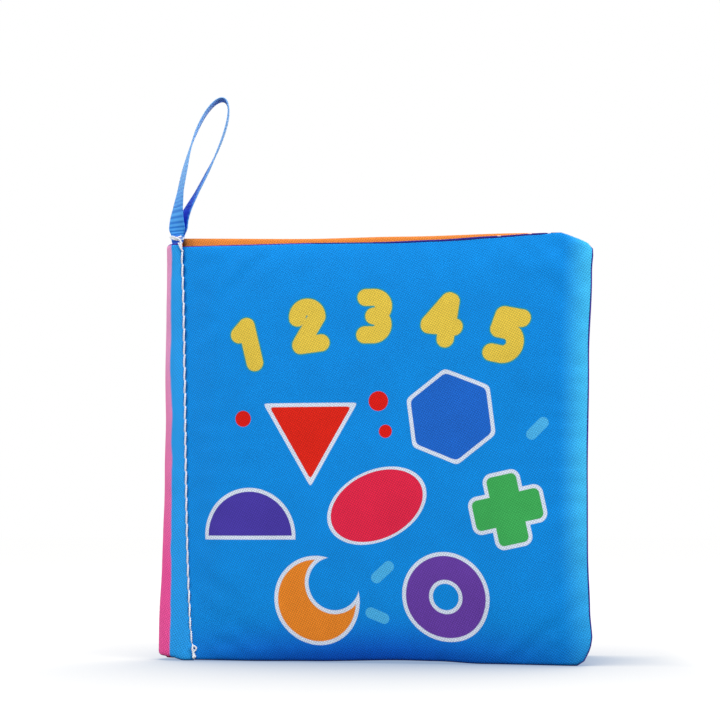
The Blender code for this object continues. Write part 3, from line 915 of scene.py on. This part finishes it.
def round_the_roll(run, z, deep):
    """A point in a spread's middle, run past the front of the roll, and the way out of the roll there.
    deep is half the depth of the spread's roll."""
    centre = roll_centre(z)
    low = 1 - ease(z / (25 * mm))
    wide = centre - roll_left(z) - rim_radius - (roll_radius - rim_radius - deep) * (1 - 0.34 * low)
    half_turn = pi * sqrt((wide**2 + deep**2) / 2)
    if run < 0:
        return Vector((centre - run, roll_radius - deep, z)), Vector((0, -1, 0)), half_turn
    if run > half_turn:
        return Vector((centre + run - half_turn, roll_radius + deep, z)), Vector((0, 1, 0)), half_turn
    angle = pi * run / half_turn
    place = Vector((centre - wide * sin(angle), roll_radius - deep * cos(angle), z))
    return place, Vector((-deep * sin(angle), -wide * cos(angle), 0)).normalized(), half_turn


def spine_strip(name, side, deep, height, seams, material):
    """One layer of a spread's cloth round the roll. side is -1 outside the roll and 1 inside it."""
    is_cover = deep > 3 * mm
    run_length = 19 * mm if is_cover else 10.6 * mm
    bm, cut = cloth_grid(round(run_length / (0.7 * mm)), round(height / grid_step))
    rim = {}
    for vertex in bm.verts:
        share, up = (vertex.co.x + 1) / 2, vertex.co.y
        z = rim_reach + (height - 2 * rim_reach) * (up + 1) / 2
        start = roll_centre(z) - stitch_x(z)
        half_turn = round_the_roll(0, z, deep)[2]
        end = half_turn + back_start - roll_centre(z)
        run = start + (end - start) * share
        drawn_up = 0.6 * mm
        if is_cover:
            drawn_up = along(((-2, 0), (1.5, 1.05), (4.4, 1.4), (7.6, 1.75)), run / mm) * mm
        z += drawn_up * ease((end - run) / (7 * mm)) * max(1 - z / (16 * mm), 0) ** 2
        place, out, half_turn = round_the_roll(run, z, deep)
        pinch = exp(-((run - start) / (1.1 * mm)) ** 2)
        half = rim_radius - (rim_radius - stitched_half) * pinch
        swell = 0.3 * mm * ripple(run, z * 0.5, deep * 900 + side, 6 * mm) * sin(pi * share) * (side < 0)
        vertex.co = place - out * side * (half + swell)
        edge_of_print = (4.15 + 0.6 * ease((z / cover_height - 0.5) / 0.3)) * mm
        sideways = (roll_centre(z) + edge_of_print) / (roll_centre(z) - roll_left(z))
        print_edge = half_turn / pi * asin(min(max(sideways, 0), 1))
        vertex[cut] = (run - print_edge, z, 0)
        if abs(up) > at_edge:
            seam = (seams[0] if up > 0 else seams[1]) * (1 - share)
            rim[vertex] = (place, Vector((0, 0, copysign(1, up))), -out, half, swell, seam)
    edges = [e for e in bm.edges if all(v in rim for v in e.verts)]
    roll_rim(bm, edges, rim, side, seams[0])
    lay_out(bm)
    place = Matrix.Translation(book_place)
    piece = finish_piece(f"{name}_cloth", bm, place, material, f"{name}_strip", cloth, (side, 0, 0))
    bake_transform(piece)


def roll_print(tree, cut):
    """Blue towards the stitches, lighter than the cover's blue as a painted highlight, then pink with a
    painted sheen that lightens it higher up and nearer the blue, and the print rubbed off along the fold
    near its foot.
    """
    split = add_node(tree, "SeparateXYZ", (cut,))
    drift = add_node(tree, "TexNoise", {"Vector": cut, "Scale": 0.07, "Detail": 2.0})
    edge = add_node(tree, "Math", (drift, 1.6, split), "MULTIPLY_ADD")
    mask = add_node(tree, "MapRange", (edge, 0.62, 0.98))
    # Painted sheen: the pink lightens higher up and nearer the blue
    highlight_by_height = add_node(tree, "MapRange", {0: split.outputs[1], 1: 24.0, 2: 84.0, 4: 0.72})
    in_front = add_node(tree, "MapRange", (split, 6.0, 1.5))
    painted_highlight = add_node(tree, "Math", (highlight_by_height, in_front), "MULTIPLY")
    links = {0: painted_highlight, 6: hex_colour("#F857A2"), 7: hex_colour("#EAB4DC")}
    pink_with_painted_sheen = add_node(tree, "Mix", links, data_type="RGBA")
    # Painted highlight: the roll's blue is lighter than the cover's
    colour = add_node(tree, "Mix", {0: mask, 6: hex_colour("#28A0F0"), 7: pink_with_painted_sheen}, data_type="RGBA")
    wander = add_node(tree, "TexNoise", {"Vector": cut, "Scale": 0.35, "Detail": 1.0})
    worn = add_node(tree, "Math", (wander, 1.8, split), "MULTIPLY_ADD")
    worn = add_node(tree, "Math", (worn, 6.6, 0.2), "COMPARE")
    low = add_node(tree, "Math", (split.outputs[1], 11.0, 6.5), "COMPARE")
    broken = add_node(tree, "TexNoise", {"Vector": cut, "Scale": 0.8, "Detail": 2.0})
    broken = add_node(tree, "MapRange", (broken, 0.42, 0.55))
    rubbed = add_node(tree, "Math", (worn, low), "MULTIPLY")
    rubbed = add_node(tree, "Math", (rubbed, broken), "MULTIPLY")
    return add_node(tree, "Mix", {0: rubbed, 6: colour, 7: hex_colour("#F3DCE8")}, data_type="RGBA")


def page_roll_print(tree, cut):
    """Orange towards the stitches and red beyond, as the two outer pages of the inner spread are."""
    split = add_node(tree, "SeparateXYZ", (cut,))
    mask = add_node(tree, "MapRange", (split, -1.2, -0.9))
    links = {0: mask, 6: hex_colour("#EC8B3C"), 7: hex_colour("#DD2414")}
    return add_node(tree, "Mix", links, data_type="RGBA")


cover_deep = roll_radius - cover_mid
page_deep = roll_radius - page_mid
roll_twill = twill("printed_spine_twill", roll_print)
plain_purple = twill("plain_purple_twill", lambda tree, cut: hex_colour("#4A3AA8")[:3])
page_roll_twill = twill("printed_page_spine_twill", page_roll_print)
plain_yellow = twill("plain_yellow_twill", lambda tree, cut: hex_colour("#E6C445")[:3])
for spread, deep, height, seams, outside, outer_slot, inside, inner_slot in (
    ("cover", cover_deep, cover_height, (-58, -20), roll_twill, "pink_twill", plain_purple, "purple_twill"),
    ("page", page_deep, page_height, (35, 0), page_roll_twill, "orange_twill", plain_yellow, "yellow_twill"),
):
    spine_strip(f"{spread}_spine_outer", -1, deep, height, seams, outside)
    spine_strip(f"{spread}_spine_inner", 1, deep, height, seams, inside)


# Stitching. One seam of white two-ply polyester lockstitch, 3.6 mm to a stitch, holds all the layers. Its
# end at the foot is knotted, with a slack loop above the knot, and its other end is turned over the top.

# Two-ply spun polyester thread, white and half matt, with fine fibres
thread_white, tree, shader = new_material("white_polyester_thread")
place = add_node(tree, "TexCoord")
fibres = add_node(tree, "TexNoise", {"Vector": place.outputs["Object"], "Scale": 9000.0, "Detail": 3.0})
tone = add_node(tree, "ValToRGB", (fibres,))
for stop, place, code in zip(tone.color_ramp.elements, (0.3, 0.62), ("#EDF3FB", "#FBFCFE")):
    stop.position, stop.color = place, hex_colour(code)
bump = add_node(tree, "Bump", {"Height": fibres, "Strength": 0.5, "Distance": 0.05 * mm})
feed(tree, shader, {"Base Color": tone, "Normal": bump, "Roughness": 0.48, "Sheen Weight": 0.3})

ply_radius = 0.165 * mm
ply_step = 0.14 * mm
ply_turn = 1.3 * mm


def seam_line(z, side):
    """The seam's place on the cloth in front of the roll, or on the page spread's inner face."""
    deep = cover_deep if side < 0 else page_deep
    place, out, _ = round_the_roll(roll_centre(z) - stitch_x(z), z, deep)
    return place - out * side * stitched_half, -out * side


def stitch_path(side, first, count):
    """Points of the thread's middle. Each stitch rises from one hole, lies a little askew and dips to
    the next."""
    steps = 16
    points = []
    for number in range(count):
        slack = ripple(number * mm, 0, 40 + side, 2.3 * mm)
        for step in range(steps):
            share = step / steps
            z = first + (number + share) * stitch_pitch
            place, out = seam_line(min(z, cover_height - 0.4 * mm), side)
            rise = (-0.2 + (0.46 + 0.12 * slack) * sin(pi * share) ** 0.55) * mm
            askew = (0.3 * (share - 0.5) + 0.12 * slack * sin(pi * share)) * mm
            points.append(place + out * rise + Vector((askew, 0, z - place.z)))
    return points


def add_plies(curve, points):
    """Two plies twisted round each other along the points."""
    gone = [0]
    for first, second in zip(points, points[1:]):
        gone.append(gone[-1] + (second - first).length)
    for ply in (0, pi):
        spline = curve.splines.new("POLY")
        spline.points.add(len(points) - 1)
        for number, (point, middle, length) in enumerate(zip(spline.points, points, gone)):
            run = points[min(number + 1, len(points) - 1)] - points[max(number - 1, 0)]
            first = run.cross(Vector((0.2, 1, 0.1))).normalized()
            second = run.cross(first).normalized()
            angle = 2 * pi * length / ply_turn + ply
            place = middle + (first * cos(angle) + second * sin(angle)) * ply_step
            point.co = (*(place + book_place), 1)


def smooth_path(corners, step=0.2 * mm):
    """Points every step or so along a soft line through the corners."""
    points = []
    ends = [corners[0], *corners, corners[-1]]
    for before, start, end, after in zip(ends, ends[1:], ends[2:], ends[3:]):
        count = max(2, round((end - start).length / step))
        points += [soft_step(before, start, end, after, number / count) for number in range(count)]
    return [*points, corners[-1]]


def on_seam(*corners):
    """Points over the outer seam, from their height, their place to the right and their rise in mm."""
    points = []
    for z, right, rise in corners:
        place, out = seam_line(z * mm, -1)
        points.append(place + Vector((right * mm, 0, 0)) + out * rise * mm)
    return points


def stitching(name, side, loose_ends, node):
    curve = bpy.data.curves.new(name, "CURVE")
    curve.dimensions = "3D"
    curve.bevel_depth = ply_radius
    curve.bevel_resolution = 1
    curve.use_fill_caps = True
    count = int((cover_height - 2.4 * mm) / stitch_pitch)
    add_plies(curve, stitch_path(side, 1.2 * mm, count))
    for corners in loose_ends:
        add_plies(curve, smooth_path(corners))
    curve.materials.append(thread_white)
    piece = put_in(name, curve)
    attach(piece, "spine_and_second_leaf")
    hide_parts(node)


slack_loop = on_seam(
    (1.9, 0.0, 0.4), (2.5, 0.3, 0.5), (2.9, 0.75, 0.5), (3.3, 1.05, 0.45), (3.75, 0.85, 0.5),
    (3.95, 0.35, 0.6), (3.6, 0.0, 0.75), (2.9, -0.1, 0.65), (2.0, 0.05, 0.5), (1.2, 0.1, 0.45))
knot = []
for number in range(14):
    turn = 2 * pi * number / 6
    spread = 0.34 - 0.012 * number
    height = 0.9 + 0.05 * number + 0.3 * sin(turn)
    knot += on_seam((height, 0.2 + spread * cos(turn), 0.45 + 0.2 * sin(turn * 0.5)))
top_end = on_seam((113.6, 0.0, 0.3), (114.6, -0.1, 0.45), (114.9, -0.2, 0.1), (114.9, -0.3, -0.9))
second_end = on_seam((112.6, 0.3, 0.2), (113.8, -0.3, 0.5), (114.9, -0.7, 0.35), (114.9, -0.8, -0.8))
ribbon_bar = [Vector(place) * mm for place in (
    (-1.7, 0.0, 114.9), (-2.6, 0.4, 116.2), (-4.6, 1.5, 117.0), (-5.0, 1.6, 116.6), (-3.4, 1.2, 116.5),
    (-1.9, 1.2, 117.0), (-1.5, 1.3, 116.3), (-3.2, 1.1, 116.0), (-4.4, 1.4, 116.3))]
loose_ends = (slack_loop, knot, top_end, second_end, ribbon_bar)
stitching("spine_thread_outside", -1, loose_ends, "spine_stitching_outside")
stitching("spine_thread_inside", 1, (), "spine_stitching_inside")


# Strap. A loop of 6 mm blue grosgrain ribbon, sewn in between the spreads at the top of the spine. Its
# two ends lie on each other in the neck and part above it.
ribbon_width = 6 * mm
ribbon_thickness = 0.42 * mm
ribbon_rib = 1.0 * mm
strap_y = 2.1 * mm
loop_foot = 125.2 * mm
neck_centre = -3.1 * mm
strap_seam = 116.6 * mm
strap_height = 39 * mm
half_spread = 5.6 * mm
lean = 0.36
ply_half_gap = 0.22 * mm
gathered = 0.62

left_turns = ((-1, 10), (0, 24), (3.3, 38), (8, 55), (13, 66), (19, 69), (24, 77), (30, 84), (40, 86))
right_turns = ((-1, 10), (0, 24), (3.3, 39), (8, 58), (13, 69), (19, 73), (24, 81), (30, 84), (40, 86))


def strap_twist(rise, turns):
    """How far a leg of the ribbon has turned edge-on at a height over the seam, in radians."""
    for (low, low_turn), (high, high_turn) in zip(turns, turns[1:]):
        if rise <= high * mm:
            return radians(low_turn + (high_turn - low_turn) * (rise / mm - low) / (high - low))


def strap_path(turn):
    """A point of the ribbon's middle: turn runs from 0 at the seam, over the top, and back to pi."""
    rise = strap_height * sin(turn) ** 2
    spread = half_spread * sin(2 * turn) * sin(turn) ** 1.6 + ply_half_gap * cos(turn)
    over = rise - 5 * mm
    leaning = lean * (over + hypot(over, 2.4 * mm)) / 2
    twist = strap_twist(rise, left_turns if turn < pi / 2 else right_turns)
    x = neck_centre + leaning - spread * sin(twist)
    return Vector((x, strap_y - spread * cos(twist), strap_seam + rise)), twist


parting = asin(sqrt((loop_foot - strap_seam) / strap_height))


def tail_path(share):
    return Vector((0, 0, 108.8 * mm + 8 * mm * share)), 0


def left_leg(share):
    return strap_path(parting * share)


def right_leg(share):
    return strap_path(pi - parting * share)


def loop_path(share):
    return strap_path(parting + (pi - 2 * parting) * share)


def path_length(path):
    spots = [path(number / 200)[0] for number in range(201)]
    return sum((after - before).length for before, after in zip(spots, spots[1:]))


def ribbon_ply(bm, path, length, offset):
    """One ply of ribbon: cross ribs on both faces between two smooth woven edges."""
    neck_length = path_length(left_leg)

    def place(across, up, face):
        centre, angle = path(up)
        run = path(min(up + 0.001, 1))[0] - path(max(up - 0.001, 0))[0]
        width_way = Vector((cos(angle), -sin(angle), 0))
        out = width_way.cross(run).normalized()
        u = 2 * across - 1
        width = ribbon_width * (gathered + (1 - gathered) * ease((centre.z - strap_seam) / (3 * mm)))
        rib = 0.045 * mm * sin(2 * pi * up * length / ribbon_rib) * (abs(u) < 0.85)
        edge = sqrt(max(1 - max((abs(u) - 0.9) / 0.1, 0) ** 2, 0.15))
        spot = centre + width_way * width / 2 * u
        if path is tail_path:
            foot, foot_angle = strap_path(0)
            width_way = Vector((cos(foot_angle), -sin(foot_angle), 0))
            flat_spot = Vector((neck_centre, strap_y, centre.z)) + width_way * width / 2 * u
            run = roll_centre(centre.z) + 2.3 * mm + width * (1 - across)
            spot, out, _ = round_the_roll(run, centre.z, roll_radius - strap_y)
            risen = ease((centre.z - 114 * mm) / (2.4 * mm))
            spot = spot.lerp(flat_spot, risen)
            out = out.lerp(width_way.cross(Vector((0, 0, 1))), risen).normalized()
        spot = spot + out * (offset + face * (ribbon_thickness / 2 + rib) * edge)
        from_seam = neck_length + min(up, 1 - up) * length if path is loop_path else up * length
        return spot, u * ribbon_width / 2, from_seam

    columns, rows_per_rib = 14, 4
    slab(bm, columns, max(4, round(length / ribbon_rib * rows_per_rib)), place)


# Woven polyester grosgrain, its cross ribs 1 mm apart. A painted shade deepens its blue where its legs lie
# close together, and a painted highlight lightens it up the open legs.
grosgrain, tree, shader = new_material("blue_grosgrain_ribbon")
cut = add_node(tree, "UVMap", uv_map="cut")
in_mm = add_node(tree, "VectorMath", {0: cut, "Scale": 1 / mm}, "SCALE")
rib_scale = wave_pitch / (ribbon_rib / mm)
links = {0: in_mm, "Scale": rib_scale, "Distortion": 0.25, "Detail": 1.0, "Detail Scale": 2.0}
ribs = add_node(tree, "TexWave", links, bands_direction="Y").outputs["Fac"]
yarn_pitch = 0.22
warp = add_node(tree, "TexWave", {0: in_mm, "Scale": wave_pitch / yarn_pitch, "Distortion": 0.4})
weave = add_node(tree, "Math", (warp.outputs["Fac"], 0.35, ribs), "MULTIPLY_ADD")
tone = add_node(tree, "ValToRGB", (weave,))
for stop, code in zip(tone.color_ramp.elements, ("#1C76E0", "#52ACFA")):
    stop.color = hex_colour(code)
# Painted shade: deep blue where ambient occlusion finds the legs close together
near = add_node(tree, "AmbientOcclusion", {"Distance": 7 * mm})
open_share = add_node(tree, "MapRange", (near.outputs["AO"], 0.35, 0.86))
painted_fold_shade = add_node(tree, "Mix", {0: open_share, 6: hex_colour("#1850E6"), 7: tone}, data_type="RGBA")
# Painted highlight: lighter blue up the open legs, away from the seam
from_seam = add_node(tree, "SeparateXYZ", (in_mm,)).outputs[1]
links = {0: from_seam, 1: 4.0, 2: 19.0, 4: 0.5}
painted_leg_highlight = add_node(tree, "MapRange", links, interpolation_type="SMOOTHSTEP")
links = {0: painted_leg_highlight, 6: painted_fold_shade, 7: hex_colour("#A6D2FA")}
ribbon_blue = add_node(tree, "Mix", links, data_type="RGBA")
bump = add_node(tree, "Bump", {"Height": weave, "Strength": 0.4, "Distance": 0.08 * mm})
feed(tree, shader, {"Base Color": ribbon_blue, "Normal": bump, **woven_finish})

for name, plies in (
    ("tail", ((tail_path, -ply_half_gap), (tail_path, ply_half_gap))),
    ("neck", ((left_leg, 0), (right_leg, 0))),
    ("loop", ((loop_path, 0),)),
):
    bm, _ = new_cloth()
    for path, offset in plies:
        ribbon_ply(bm, path, path_length(path), offset)
    lay_out(bm)
    place = Matrix.Translation(book_place)
    piece = finish_piece(f"ribbon_{name}", bm, place, grosgrain, f"strap_{name}")
    if name == "tail":
        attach(piece, "spine_and_second_leaf")
    elif name == "neck":
        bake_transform(piece)
    else:
        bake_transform(piece)
